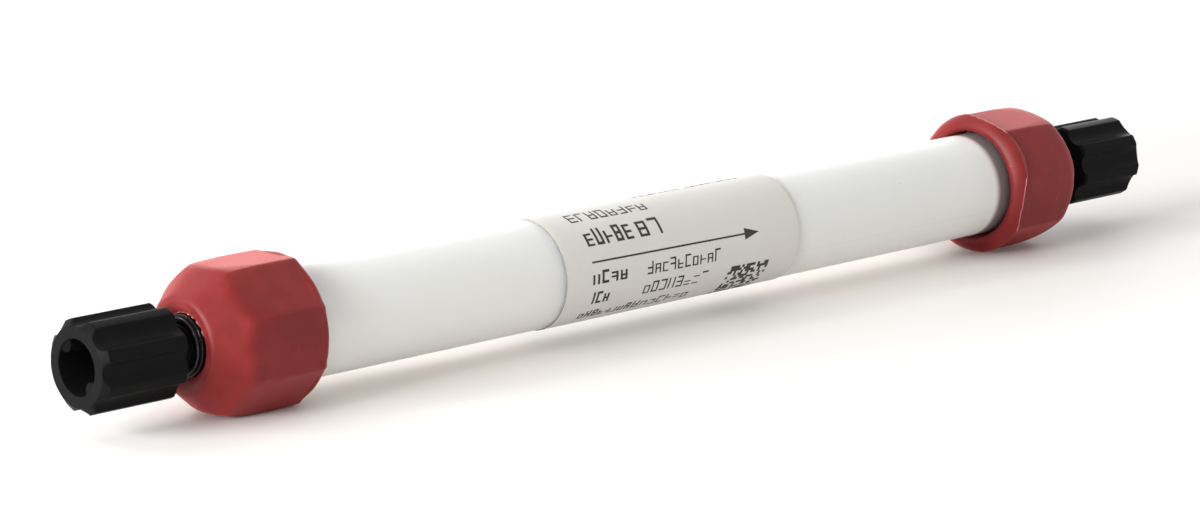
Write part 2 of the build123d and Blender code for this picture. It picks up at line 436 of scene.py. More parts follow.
def tube_milky():
    """Milky translucent plastic, with painted shade near the caps where the dark end pieces show through.
    """
    finish = Finish(
        "tube_milky",
        IOR=1.49,
        Specular_IOR_Level=0.3,
        Subsurface_Weight=1.0,
        Subsurface_Radius=(1.0, 0.95, 0.88),
        Subsurface_Scale=5 * MM,
    )
    x, y, z = finish.apart()
    cloud = finish.noise(6.0, 3, stretch=(4, 1, 1))
    scratch = finish.noise(0.12, 2, stretch=(60, 1, 1)).rise(0.68, 0.76)
    speck = finish.specks(2.2, 0.1, 0.16)
    # A fine scratch along the near side, below the axis, that fades in towards the outlet.
    hairline = (z + 2.1 + 0.002 * x).size().rise(0.05, 0.02) * x.rise(12, 20) * y.rise(0, -1)
    body = finish.mix(cloud, (0.965, 0.89, 0.815), (0.982, 0.92, 0.855))
    body = finish.mix(speck * 0.5 + hairline * 0.12, body, (0.35, 0.32, 0.3))
    outlet_start, outlet_full = [ADAPTER_START + part for part in SHADE_FROM_TO["outlet"]]
    inlet_start, inlet_full = [ADAPTER_START + part for part in SHADE_FROM_TO["inlet"]]
    # Painted shade: the tube's colour darkens towards each end, over the dark end piece inside.
    shade = x.rise(outlet_start, outlet_full) * SHADE_DEPTH
    shade += (-1 * x).rise(inlet_start, inlet_full) * SHADE_DEPTH
    body = finish.mix(shade, body, (0.07, 0.045, 0.06))
    finish.set("Base Color", body)
    finish.set("Roughness", 0.3 + 0.1 * cloud + 0.1 * scratch)
    finish.bump(scratch * 0.6 + finish.noise(1.5, 2, stretch=(8, 1, 1)) * 0.4, 0.01)
    return finish.material


# Width in mm of the painted shade at each end of the label film.
LABEL_EDGE_SHADE = 0.08


def label_paper():
    """Thin grey-white label film with a faint fibre, and painted shade at its two ends."""
    finish = Finish("label_paper", IOR=1.45, Specular_IOR_Level=0.25)
    fibre = finish.noise(0.25, 3, stretch=(3, 1, 1))
    cloud = finish.noise(7.0, 2)
    speck = finish.specks(1.6, 0.07, 0.1)
    x = finish.apart()[0]
    # Painted shade: the film's end faces and the narrow strip beside each are darker.
    edge = x.rise(LABEL_LOW[0] + LABEL_EDGE_SHADE, LABEL_LOW[0])
    edge += x.rise(LABEL_HIGH[0] - LABEL_EDGE_SHADE, LABEL_HIGH[0])
    body = finish.mix(cloud, (0.69, 0.675, 0.635), (0.73, 0.715, 0.675))
    body = finish.mix(edge * 0.9, body, (0.33, 0.3, 0.25))
    body = finish.mix(fibre * 0.12, body, (0.6, 0.58, 0.54))
    body = finish.mix(speck * 0.4, body, (0.3, 0.28, 0.25))
    finish.set("Base Color", body)
    finish.set("Roughness", 0.45 + 0.12 * fibre)
    finish.bump(fibre, 0.004)
    return finish.material


def label_ink():
    """Dark printing ink, a little thin in places."""
    finish = Finish("label_ink", IOR=1.45)
    thin = finish.noise(0.12, 2).rise(0.6, 0.8)
    finish.set("Base Color", finish.mix(thin * 0.3, (0.02, 0.017, 0.011), (0.12, 0.11, 0.09)))
    finish.set("Roughness", 0.5 + 0.1 * thin)
    return finish.material


def plain_finish(name, colour, other_colour, grain_mm, rough, relief_mm):
    """Mottled finish of an inner piece."""
    finish = Finish(name)
    grain = finish.noise(grain_mm, 3)
    finish.set("Base Color", finish.mix(grain.rise(0.3, 0.7), colour, other_colour))
    finish.set("Roughness", rough + 0.1 * grain)
    finish.bump(grain, relief_mm)
    return finish.material


# ---- Tube and label ----


def make_tube(finish):
    """Tube with a thicker land at each end."""
    land_start = TUBE_END - LAND_LENGTH
    half = [(land_start, TUBE_R), (land_start, LAND_R), (TUBE_END, LAND_R), (TUBE_END, BORE_R)]
    corners = half + [(-station, radius) for station, radius in reversed(half)]
    profile = rounded_path(corners, [0.15, 0.12, 0.3, 0.05, 0.05, 0.3, 0.12, 0.15], 1.0, closed=True)
    directions = np.arange(0, 360, DIRECTION_STEP["tube"])
    points = around(1, profile[:, :1], profile[:, 1:], directions)
    mesh = grid_mesh("tube_shell", points, loop_rows=True)
    finished_piece("tube_shell", mesh, finish, "column", "tube_plastic", "column_tube")


# Length of the film round the tube in mm, direction of the gap between its ends, and its columns.
LABEL_WIDTH = 36.0
LABEL_SEAM = 196.0
LABEL_COLUMNS = 180


def make_label(finish):
    """Label wrapped round the tube, with a gap where its ends don't meet."""
    half_gap = (360 - math.degrees(LABEL_WIDTH / LABEL_R)) / 2
    inner_r = LABEL_R - LABEL_THICKNESS
    corners = [
        (LABEL_LOW[0], inner_r), (LABEL_LOW[0], LABEL_R),
        (LABEL_HIGH[0], LABEL_R), (LABEL_HIGH[0], inner_r),
    ]
    profile = rounded_path(corners, [0.01, 0.04, 0.04, 0.01], 1.0, closed=True)
    directions = np.linspace(LABEL_SEAM + half_gap, LABEL_SEAM + 360 - half_gap, LABEL_COLUMNS)
    points = around(1, profile[:, :1], profile[:, 1:], directions)
    mesh = grid_mesh("label_film", points, loop_rows=True, loop_columns=False)
    finished_piece("label_film", mesh, finish, "column", "label_paper", "label")


# ---- Print on the label, made flat and then wrapped round ----

INK_HEIGHT = 0.012
INK_LIFT = 0.002
PRINT_TILT = -0.0113
# Share of the step that a mark fills, and the height of a short mark against a tall one.
MARK_WIDTH = 0.74
SHORT_MARK = 0.74
STROKE_SEED = 20
EMPTY_CELLS = 0.45


def wrap_tree(name, inputs):
    """A Geometry Nodes tree with named inputs; returns the tree, its inputs and its group."""
    group = bpy.data.node_groups.new(name, "GeometryNodeTree")
    group.interface.new_socket("Geometry", in_out="OUTPUT", socket_type="NodeSocketGeometry")
    for title, kind in inputs.items():
        group.interface.new_socket(title, in_out="INPUT", socket_type=kind)
    tree = Tree(group)
    source = group.nodes.new("NodeGroupInput")
    return tree, {title: Wire(tree, source.outputs[title]) for title in inputs}, group


def wrap_and_close(tree, inputs, flat, group):
    """Wraps flat print (X along the column, Y up from the film, Z round it) and ends the tree."""
    realized = tree.node("GeometryNodeRealizeInstances", None, {"Geometry": flat})
    position = tree.node("GeometryNodeInputPosition")
    x, lift, rolled = (
        tree.node("ShaderNodeSeparateXYZ", None, {"Vector": position}, output=axis) for axis in range(3)
    )
    turned = (rolled + x * inputs["Tilt"]) / inputs["Radius"]
    radius = inputs["Radius"] + lift
    sockets = {"X": x, "Y": radius * turned.cosine() * -1, "Z": radius * turned.sine()}
    wrapped = tree.node("ShaderNodeCombineXYZ", None, sockets)
    moved = tree.node("GeometryNodeSetPosition", None, {"Geometry": realized, "Position": wrapped})
    inked = tree.node("GeometryNodeSetMaterial", None, {"Geometry": moved, "Material": inputs["Ink"]})
    end = group.nodes.new("NodeGroupOutput")
    tree.links.new(inked.socket, end.inputs["Geometry"])


WRAP_INPUTS = {"Radius": "NodeSocketFloat", "Tilt": "NodeSocketFloat", "Ink": "NodeSocketMaterial"}


def ink_block(tree, width, height, across=0.0, up=0.0):
    """A thin block with its lower left corner at across and up, cut so that it can bend."""
    size = tree.node("ShaderNodeCombineXYZ", None, {"X": width, "Y": INK_HEIGHT * MM, "Z": height})
    sockets = {"Size": size, "Vertices X": 2, "Vertices Y": 2, "Vertices Z": 5}
    block = tree.node("GeometryNodeMeshCube", None, sockets, output="Mesh")
    middle = tree.node("ShaderNodeCombineXYZ", None, {"X": width * 0.5 + across, "Z": height * 0.5 + up})
    return tree.node("GeometryNodeTransform", None, {"Geometry": block, "Translation": middle})


def text_row_tree():
    """A row of marks of random strokes, in place of a line of words."""
    tree, inputs, group = wrap_tree("text_row", {
        "Count": "NodeSocketInt", "Step": "NodeSocketFloat", "Height": "NodeSocketFloat",
        "Stroke": "NodeSocketFloat", "Start": "NodeSocketFloat", "Baseline": "NodeSocketFloat",
        "Seed": "NodeSocketInt", **WRAP_INPUTS,
    })
    stroke, height = inputs["Stroke"], inputs["Height"]
    wide = inputs["Step"] * MARK_WIDTH
    start = tree.node("ShaderNodeCombineXYZ", None, {"X": inputs["Start"], "Z": inputs["Baseline"]})
    step = tree.node("ShaderNodeCombineXYZ", None, {"X": inputs["Step"]})
    sockets = {"Count": inputs["Count"], "Start Location": start, "Offset": step}
    line = tree.node("GeometryNodeMeshLine", None, sockets)
    tall = tree.random(inputs["Seed"])
    tallness = SHORT_MARK + (1 - SHORT_MARK) * tall.rise(0.55, 0.6)
    scale = tree.node("ShaderNodeCombineXYZ", None, {"X": 1.0, "Y": 1.0, "Z": tallness})
    # Left, right, lower, middle and upper stroke, each with the share of the marks that have it.
    strokes = [
        (ink_block(tree, stroke, height), 0.85),
        (ink_block(tree, stroke, height, wide - stroke), 0.65),
        (ink_block(tree, wide, stroke), 0.6),
        (ink_block(tree, wide, stroke, 0.0, height * 0.5 - stroke * 0.5), 0.55),
        (ink_block(tree, wide, stroke, 0.0, height - stroke), 0.6),
    ]
    joined = tree.nodes.new("GeometryNodeJoinGeometry")
    for number, (block, share) in enumerate(strokes):
        chance = tree.random(inputs["Seed"] + (STROKE_SEED + number))
        sockets = {
            "Points": line, "Instance": block, "Scale": scale,
            "Selection": chance.math("LESS_THAN", chance, share),
        }
        drawn = tree.node("GeometryNodeInstanceOnPoints", None, sockets)
        tree.links.new(drawn.socket, joined.inputs[0])
    wrap_and_close(tree, inputs, Wire(tree, joined.outputs[0]), group)
    return group


def code_field_tree():
    """A square field of small random squares that encodes nothing."""
    tree, inputs, group = wrap_tree("code_field", {
        "Cells": "NodeSocketInt", "Side": "NodeSocketFloat", "Start": "NodeSocketFloat",
        "Baseline": "NodeSocketFloat", "Seed": "NodeSocketInt", **WRAP_INPUTS,
    })
    sockets = {
        "Size X": inputs["Side"], "Size Y": inputs["Side"],
        "Vertices X": inputs["Cells"], "Vertices Y": inputs["Cells"],
    }
    field = tree.node("GeometryNodeMeshGrid", None, sockets, output="Mesh")
    points = tree.node("GeometryNodeMeshToPoints", None, {"Mesh": field})
    corner = tree.node(
        "ShaderNodeCombineXYZ", None,
        {"X": inputs["Start"] + inputs["Side"] * 0.5, "Z": inputs["Baseline"] + inputs["Side"] * 0.5},
    )
    upright = tree.node(
        "GeometryNodeTransform", None,
        {"Geometry": points, "Translation": corner, "Rotation": (math.pi / 2, 0, 0)},
    )
    chance = tree.random(inputs["Seed"])
    empty = chance.math("LESS_THAN", chance, EMPTY_CELLS)
    sockets = {"Geometry": upright, "Selection": empty}
    left = tree.node("GeometryNodeDeleteGeometry", {"domain": "POINT"}, sockets)
    cell = inputs["Side"] / (inputs["Cells"] - 1)
    block = ink_block(tree, cell, cell)
    row = tree.node("GeometryNodeInstanceOnPoints", None, {"Points": left, "Instance": block})
    wrap_and_close(tree, inputs, row, group)
    return group


def run_tree(group, values):
    """Evaluates a Geometry Nodes tree with the given inputs and returns its plain mesh."""
    carrier = bpy.data.objects.new("carrier", bpy.data.meshes.new("carrier"))
    bpy.context.scene.collection.objects.link(carrier)
    modifier = carrier.modifiers.new("print", "NODES")
    modifier.node_group = group
    for item in group.interface.items_tree:
        if item.in_out == "INPUT" and item.name in values:
            modifier[item.identifier] = values[item.name]
    evaluated = carrier.evaluated_get(bpy.context.evaluated_depsgraph_get())
    mesh = bpy.data.meshes.new_from_object(evaluated)
    bpy.data.objects.remove(carrier)
    return mesh


# Each row: start along the tube, baseline round it, height, length, number of marks and stroke.
TEXT_ROWS = [
    (-14.8, 6.6, 1.6, 11.9, 8, 0.22), (-14.65, 3.2, 2.1, 7.3, 5, 0.33), (-6.75, 3.2, 2.1, 3.9, 2, 0.33),
    (-14.85, -1.05, 1.5, 5.5, 4, 0.3), (-6.6, -1.05, 1.45, 11.6, 10, 0.2),
    (-15.0, -3.45, 1.5, 3.3, 3, 0.28), (-6.7, -3.45, 1.45, 10.2, 8, 0.2),
    (-15.3, -5.8, 1.25, 8.1, 8, 0.22), (-7.1, -5.8, 1.3, 8.9, 7, 0.2), (-3.0, 9.95, 0.45, 17.0, 26, 0.08),
]
CODE_START, CODE_BASELINE, CODE_SIDE, CODE_CELLS = 6.5, -8.5, 6.0, 18
ARROW_FROM, ARROW_TO, ARROW_ROLLED = -14.8, 10.9, 1.42
ARROW_LINE, ARROW_HEAD_LENGTH, ARROW_HEAD_HALF = 0.1, 2.25, 0.66


def flow_arrow_mesh():
    """Arrow along the flow, as a thin plate bent round the label."""
    neck = ARROW_TO - ARROW_HEAD_LENGTH
    outline = [(x, -ARROW_LINE) for x in np.linspace(ARROW_FROM, neck, 12)]
    outline += [(neck, -ARROW_HEAD_HALF), (ARROW_TO, 0), (neck, ARROW_HEAD_HALF)]
    outline += [(x, ARROW_LINE) for x in np.linspace(neck, ARROW_FROM, 12)]
    flat = np.array([(x, rolled + ARROW_ROLLED + x * PRINT_TILT) for x, rolled in outline])
    shell = bmesh.new()
    rings = []
    for lift in (INK_LIFT, INK_HEIGHT):
        points = around(1, flat[:, 0], LABEL_R + lift, np.degrees(flat[:, 1] / LABEL_R))
        rings.append([shell.verts.new(point) for point in points])
    shell.faces.new(rings[0])
    shell.faces.new(rings[1])
    for place in range(len(flat)):
        ahead = (place + 1) % len(flat)
        shell.faces.new((rings[0][place], rings[0][ahead], rings[1][ahead], rings[1][place]))
    bmesh.ops.triangulate(shell, faces=shell.faces)
    bmesh.ops.recalc_face_normals(shell, faces=shell.faces)
    mesh = bpy.data.meshes.new("flow_arrow")
    shell.to_mesh(mesh)
    shell.free()
    return mesh


def make_print(ink):
    """All of the label's print, as one piece."""
    shared = {"Radius": (LABEL_R + INK_HEIGHT / 2 + INK_LIFT) * MM, "Tilt": PRINT_TILT, "Ink": ink}
    text_row, code_field = text_row_tree(), code_field_tree()
    meshes = [flow_arrow_mesh()]
    for seed, (start, baseline, height, length, count, stroke) in enumerate(TEXT_ROWS):
        meshes.append(run_tree(text_row, {
            "Count": count, "Step": length / count * MM, "Height": height * MM, "Stroke": stroke * MM,
            "Start": start * MM, "Baseline": baseline * MM, "Seed": 5 * seed, **shared,
        }))
    meshes.append(run_tree(code_field, {
        "Cells": CODE_CELLS, "Side": CODE_SIDE * MM, "Start": CODE_START * MM,
        "Baseline": CODE_BASELINE * MM, "Seed": 3, **shared,
    }))
    print_shell = bmesh.new()
    for mesh in meshes:
        print_shell.from_mesh(mesh)
    bmesh.ops.recalc_face_normals(print_shell, faces=print_shell.faces)
    joined = bpy.data.meshes.new("label_print")
    print_shell.to_mesh(joined)
    print_shell.free()
    finished_piece("label_print", joined, ink, "column", "label_paper")


# ---- Threads, shared by the plugs and the ports ----


def thread_r(x, directions, crest_r):
    """Radius of a right-hand thread at a place along X and a direction."""
    phase = np.mod(x / PITCH + directions / 360, 1)
    from_crest = np.minimum(phase, 1 - phase) * PITCH
    return crest_r - THREAD_DEPTH * np.clip((from_crest - THREAD_CREST / 2) / THREAD_FLANK, 0, 1)


# ---- Adapter: spigot, flange, boss and threaded port ----


def make_adapter(end, side, finish):
    """Black end piece whose boss shows in the cap's nose."""
    groove = O_RING_CORD_R
    groove_floor_r = BORE_R - 2 * O_RING_CORD_R
    spigot_r = BORE_R - BORE_CLEARANCE
    outside = rounded_path(
        [
            (ADAPTER_START, 0), (ADAPTER_START, spigot_r), (O_RING_MIDDLE - groove, spigot_r),
            (O_RING_MIDDLE - groove, groove_floor_r), (O_RING_MIDDLE + groove, groove_floor_r),
            (O_RING_MIDDLE + groove, spigot_r), (TUBE_END, spigot_r), (TUBE_END, FLANGE_R),
            (FLANGE_END, FLANGE_R), (FLANGE_END, BOSS_R), (BOSS_END - BOSS_STEP_LENGTH, BOSS_R),
            (BOSS_END - BOSS_STEP_LENGTH, BOSS_R - BOSS_STEP), (BOSS_END, BOSS_R - BOSS_STEP),
            (BOSS_END, PORT_R + PORT_CHAMFER), (BOSS_END - PORT_CHAMFER, PORT_R),
        ],
        [0, 0.25, 0.05, 0.05, 0.05, 0.05, 0.05, 0.15, 0.15, 0.1, 0.12, 0.04, 0.3, 0.06, 0],
        0.3,
    )
    directions = np.arange(0, 360, DIRECTION_STEP["adapter"])
    port = np.arange(BOSS_END - 0.3, PORT_FLOOR + 0.2, -THREAD_STEP)
    easing = np.clip((BOSS_END - port) / PITCH, 0, 1)[:, None]
    threaded = thread_r(side * port[:, None], directions, PORT_R)
    port_radii = PORT_R * (1 - easing) + threaded * easing
    rows = [around(side, outside[:, :1], outside[:, 1:], directions)]
    rows.append(around(side, port[:, None], port_radii, directions))
    floor = rounded_path(
        [(PORT_FLOOR, PORT_R - THREAD_DEPTH), (PORT_FLOOR, CHANNEL_R), (ADAPTER_START, CHANNEL_R)],
        [0, 0.05, 0],
        0.6,
    )
    rows.append(around(side, floor[:, :1], floor[:, 1:], directions))
    points = np.concatenate([row[1:] if k == 0 else row for k, row in enumerate(rows)])
    name = f"{end}_end_piece"
    mesh = grid_mesh(name, points, loop_rows=True)
    finished_piece(name, mesh, finish, "column", "adapter_plastic", f"{end}_adapter")


# ---- Cap: eight flats, domed shoulder, crest and dish, and a rounded lip with its parting line ----

# Rounding of the edge between two flats: narrow on the skirt, wide on the dome, with a change between.
SKIRT_BLEND = 0.12
EDGE_BLEND = 0.55
SKIRT_START = 57.0
FADE_START = 2
FADE_LENGTH = 3
CREST_ROUND = 0.9
SHOULDER_ROUND = 2.5
DOME_STEP = 0.09
DOME_WAVE = 0.012
# Degrees beside a corner where the columns are close together, and the columns there and between.
CORNER_SPAN = 3
CORNER_COLUMNS = 9
FLAT_COLUMNS = 23
# Stations of the parting line: at a corner, and at the middle of even and odd flats.
LIP_CORNER = 54.2
LIP_MIDDLE = {"inlet": (54.5, 54.6), "outlet": (53.87, 55.3)}
LIP_FINE = 0.2
PARTING_WAVE = 0.045
BEAD_R = {"inlet": 8.0, "outlet": 8.3}
BEAD_STATION = 54.2
BEAD_SLOPE = 0.5
BEAD_POWER = 1.5
BEAD_RISE = {"inlet": 1.1, "outlet": 0.14}
FLASH = {"inlet": 0.06, "outlet": 1.0}
FLASH_HEIGHT = 0.07
FLASH_WIDTH = 0.055
FLASH_SETBACK = 0.1
# Torn edge of the nose hole, row by row: station past the dish's floor and what full tearing adds to
# it, then radius past the hole's and what full tearing adds to that.
TORN_DIRECTION = 65
TORN_PROFILE = [
    (-0.1, 0, -0.02, 0), (0.02, 0.16, -0.02, 0), (0.03, 0.2, 0.01, 0.03), (0.02, 0.14, 0.03, 0.08),
    (0.03, 0, 0.04, 0.12),
]


def waves(directions, seed, count=7, lowest=5):
    """Uneven wave round the axis between about -1 and 1, always the same for a seed."""
    draw = np.random.default_rng(seed)
    turn = np.radians(directions)
    parts = [
        np.sin((lowest + 3 * k + draw.integers(0, 3)) * turn + draw.uniform(0, 2 * math.pi))
        for k in range(count)
    ]
    return sum(parts) / math.sqrt(count)


def cap_directions(turn):
    """Directions round a cap, closer together near its eight corners."""
    half = FLAT_STEP / 2
    near = np.linspace(-half, -half + CORNER_SPAN, CORNER_COLUMNS)
    between = np.linspace(-half + CORNER_SPAN, half - CORNER_SPAN, FLAT_COLUMNS)[1:-1]
    across = np.concatenate([near, between, -near[:0:-1]])
    return np.concatenate([middle - turn + across for middle in np.arange(FLATS) * FLAT_STEP + 90])


def parting_line(end, directions, seed):
    """Station where the flats end and the lip starts."""
    place = (directions - 90 + CAP_TURN[end]) * FLATS / 360
    number = np.round(place).astype(int)
    share = np.clip(1 - (2 * (place - number)) ** 2, 0, 1)
    middle = np.where(number % 2 == 0, *LIP_MIDDLE[end])
    wave = PARTING_WAVE * waves(directions, seed, 14, 9)
    return LIP_CORNER + (middle - LIP_CORNER) * share + wave


def bead_radii(end, stations):
    """Radius of the round bead at the cap's mouth, before the flats are cut."""
    share = np.clip((BEAD_STATION - stations) / (BEAD_STATION - MOUTH), 0, 1)
    rounded = LIP_R + (BEAD_R[end] - LIP_R) * (1 - share**BEAD_POWER) ** (1 / BEAD_POWER)
    return rounded - BEAD_SLOPE * np.clip(stations - BEAD_STATION, 0, None)


def make_cap(end, side, seed, finish):
    """Red screw cap; returns its mesh."""
    directions = cap_directions(CAP_TURN[end])
    from_corner = (directions - 90 + CAP_TURN[end] + FLAT_STEP / 2) % FLAT_STEP
    from_flat = np.radians(from_corner - FLAT_STEP / 2)
    flat_radii = FLAT_R / np.cos(from_flat)
    line = parting_line(end, directions, seed)

    outside = rounded_path(
        [(NOSE - DISH_DEPTH, NOSE_HOLE_R), (NOSE, CREST_R), (SHOULDER, CORNER_R), (SKIRT_START, CORNER_R)],
        [0, CREST_ROUND, SHOULDER_ROUND, 0],
        DOME_STEP,
    )
    stations = np.repeat(outside[:, :1], len(directions), axis=1)
    fade = np.clip((outside[:, :1] - SKIRT_START - FADE_START) / FADE_LENGTH, 0, 1)
    blend = SKIRT_BLEND + EDGE_BLEND * fade
    radii = smaller(np.repeat(outside[:, 1:], len(directions), axis=1), flat_radii, blend)
    radii = radii + DOME_WAVE * waves(directions, seed + 20, 5, 2) * fade

    shares = np.concatenate([np.linspace(0, 0.9, 30), np.linspace(0.92, 1, 9)])[:, None]
    skirt_stations = SKIRT_START - shares * (SKIRT_START - line)
    skirt_flash = FLASH[end] * np.exp(-(((skirt_stations - line + FLASH_SETBACK) / FLASH_WIDTH) ** 2))
    skirt_radii = radii[-1] + FLASH_HEIGHT * skirt_flash

    close = np.linspace(0.015, LIP_FINE, 12)[:, None] + 0 * line
    shares = np.linspace(0, 1, 27)[1:, None]
    to_mouth = LIP_FINE + (line - MOUTH - LIP_FINE) * (1 - (1 - shares) ** 1.4)
    beyond = np.concatenate([close, to_mouth])
    lip_stations = line - beyond
    step = np.clip(beyond / BEAD_RISE[end], 0, 1)
    step = step * step * (3 - 2 * step)
    lip_radii = radii[-1] * (1 - step) + bead_radii(end, lip_stations) * step
    lip_flash = FLASH[end] * np.exp(-(((beyond - FLASH_SETBACK) / FLASH_WIDTH) ** 2))
    lip_radii = lip_radii + FLASH_HEIGHT * lip_flash

    bevel = np.radians(np.linspace(9, 90, 10))
    inside = np.concatenate([
        np.stack([
            MOUTH + MOUTH_BEVEL * (1 - np.cos(bevel)),
            LIP_R - (LIP_R - CAP_BORE_R) * np.sin(bevel),
        ], axis=1),
        rounded_path(
            [(MOUTH + MOUTH_BEVEL + 0.1, CAP_BORE_R), (FLANGE_END, CAP_BORE_R), (FLANGE_END, NOSE_HOLE_R),
             (NOSE - DISH_DEPTH - 0.3, NOSE_HOLE_R)],
            [0, 0.1, 0.1, 0], 0.5,
        ),
    ])
    torn = np.clip(1.6 * np.cos(np.radians(directions - TORN_DIRECTION)) - 0.5, 0, 1)
    ragged = torn * np.clip(0.55 + 0.5 * waves(directions, seed + 5, 9, 9), 0.1, 1)
    edge = NOSE - DISH_DEPTH
    fin_rows = [
        around(side, edge + out + more_out * ragged, NOSE_HOLE_R + up + more_up * ragged, directions)
        for out, more_out, up, more_up in TORN_PROFILE
    ]
    rows = [np.stack([around(side, *pair, directions) for pair in zip(stations[1:], radii[1:])])]
    rows.append(around(side, skirt_stations[1:], skirt_radii[1:], directions))
    rows.append(around(side, lip_stations, lip_radii, directions))
    rows.append(around(side, inside[:, :1], inside[:, 1:], directions))
    rows.append(np.stack(fin_rows))
    # Paling of the colour: along the flash of the parting line and on the torn edge of the nose hole.
    flash_paling = [np.zeros(row.shape[:2]) for row in rows]
    flash_paling[1][:] = skirt_flash[1:]
    flash_paling[2][:] = lip_flash
    flash_paling[4][1:4] = ragged
    name = f"{end}_screw_cap"
    mesh = grid_mesh(name, np.concatenate(rows), loop_rows=True, flash_paling=np.concatenate(flash_paling))
    finished_piece(name, mesh, finish, "column", "cap_plastic", f"{end}_cap")
    return mesh


# ---- Stop plug: fluted head with a ribbed bore, threaded shank and pin ----


def make_plug(end, side, finish):
    """Black stop plug that screws into the port."""
    lobe = PLUG_LOBE_DIRECTION[end]
    directions = lobe + np.arange(0, 360, DIRECTION_STEP["plug"])
    centre_r = FLUTE_FLOOR_R + FLUTE_CUTTER_R
    from_flute = np.radians((directions - lobe) % FLAT_STEP - FLAT_STEP / 2)
    inside_cutter = FLUTE_CUTTER_R**2 - (centre_r * np.sin(from_flute)) ** 2
    cut_radii = centre_r * np.cos(from_flute) - np.sqrt(np.clip(inside_cutter, 0, None))
    flute_radii = np.where(inside_cutter > 0, cut_radii, 2 * HEAD_R)
    rib_at = lobe + FLAT_STEP / 2 + 2 * FLAT_STEP
    from_rib = np.radians((directions - rib_at + 90) % 180 - 90)
    inside_rib = RIB_R**2 - (HEAD_BORE_R * np.sin(from_rib)) ** 2
    crown_radii = HEAD_BORE_R * np.cos(from_rib) - np.sqrt(np.clip(inside_rib, 0, None))
    rib_radii = np.where(inside_rib > 0, crown_radii, HEAD_BORE_R)

    tip = rounded_path(
        [(PIN_START, 0), (PIN_START, PIN_R), (SHANK_START, PIN_R), (SHANK_START, SHANK_R - THREAD_DEPTH)],
        [0, 0.1, 0.05, 0], 0.3,
    )
    shank = np.arange(SHANK_START + 0.05, HEAD_START - 0.5, THREAD_STEP)
    easing = np.clip((HEAD_START - 0.6 - shank) / PITCH, 0, 1)[:, None]
    threaded = thread_r(side * shank[:, None], directions, SHANK_R)
    shank_radii = RELIEF_R * (1 - easing) + threaded * easing
    neck = rounded_path(
        [(HEAD_START - 0.45, RELIEF_R), (HEAD_START, RELIEF_R), (HEAD_START, HEAD_R - HEAD_CHAMFER),
         (HEAD_START + HEAD_CHAMFER, HEAD_R), (HEAD_END - HEAD_TAPER, HEAD_R), (HEAD_END, FLUTE_FLOOR_R),
         (HEAD_END, HEAD_BORE_R), (HEAD_END - RIB_SETBACK, HEAD_BORE_R)],
        [0, 0.12, 0.08, 0.08, 0.1, 0.1, 0.1, 0], 0.25,
    )
    neck_radii = np.repeat(neck[:, 1:], len(directions), axis=1)
    outer = (neck[:, :1] > HEAD_START - 0.01) & (neck_radii > FLUTE_FLOOR_R - 0.4)
    neck_radii = np.where(outer, smaller(neck_radii, flute_radii, 0.07), neck_radii)
    bore_start = HEAD_END - RIB_SETBACK
    deeper = np.arange(bore_start - 0.15, HEAD_BORE_FLOOR + 0.1, -0.5)
    bore = np.concatenate([[bore_start - 0.06], deeper])
    rows = [around(side, tip[:, :1], tip[:, 1:], directions)]
    rows.append(around(side, shank[:, None], shank_radii, directions))
    rows.append(around(side, neck[:, :1], neck_radii, directions))
    rows.append(around(side, bore[:, None], rib_radii[None, :], directions))
    for share in (0.99, 0.5, 0.0):
        rows.append(around(side, np.full((1, 1), HEAD_BORE_FLOOR), rib_radii[None, :] * share, directions))
    name = f"{end}_stop_plug"
    mesh = grid_mesh(name, np.concatenate(rows))
    finished_piece(name, mesh, finish, f"{end}_plug", "plug_plastic", f"{end}_plug")


# ---- Inner pieces keep their CAD meshes ----


def dress_inner_pieces():
    """Gives each CAD node that stays its finish."""
    gel = plain_finish("bed_gel", (0.95, 0.95, 0.93), (0.98, 0.98, 0.97), 0.12, 0.5, 0.02)
    shader = gel.node_tree.nodes["Principled BSDF"]
    shader.inputs["Subsurface Weight"].default_value = 1.0
    shader.inputs["Subsurface Radius"].default_value = (1.0, 0.98, 0.95)
    shader.inputs["Subsurface Scale"].default_value = 8 * MM
    porous = plain_finish("sintered_white", (0.72, 0.72, 0.69), (0.88, 0.88, 0.86), 0.08, 0.7, 0.04)
    clear = plain_finish("distributor_natural", (0.78, 0.78, 0.75), (0.84, 0.84, 0.82), 0.8, 0.25, 0.01)
    rubber = plain_finish("o_ring_rubber", (0.012, 0.012, 0.012), (0.025, 0.025, 0.024), 0.3, 0.6, 0.01)
    natural = plain_finish("ferrule_natural", (0.66, 0.62, 0.5), (0.72, 0.68, 0.57), 0.5, 0.35, 0.01)
    finishes = {"packed_bed": gel}
    for end in ENDS:
        finishes[f"{end}_frit"] = porous
        finishes[f"{end}_distributor"] = clear
        finishes[f"{end}_adapter_o_ring"] = rubber
        finishes[f"{end}_ferrule"] = natural
    for node, finish in finishes.items():
        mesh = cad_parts[node].data
        mesh.materials.clear()
        mesh.materials.append(finish)


# ---- Floor, light and camera ----


FLOOR_REACH = 3.0
# The floor glows to the white of the backdrop away from the column, between these distances in mm.
GLOW = 0.3
GLOW_FROM, GLOW_TO = 20, 100
# Strength of the world for the rays that light the object; the backdrop itself is 1.
FILL = 0.55
# Each lamp: place and aim in metres, width and height in metres, and power in watts.
LAMPS = {
    "left": ((-0.70, 0.03, 0.21), (-0.05, 0, 0), 0.45, 0.30, 9.4),
    "top": ((-0.25, 0.33, 0.44), (-0.02, 0, 0), 0.15, 0.15, 0.4),
    "back": ((0.60, 0.70, 0.24), (0, 0, 0), 0.9, 0.5, 2.9),
}
CAMERA_PLACE = (-0.33311, -0.33704, 0.09636)
CAMERA_TURN = (78.3607, 0.6179, -44.0997)
CAMERA_LENS = 131.094
SENSOR_WIDTH = 36
NEAREST_SEEN = 0.01


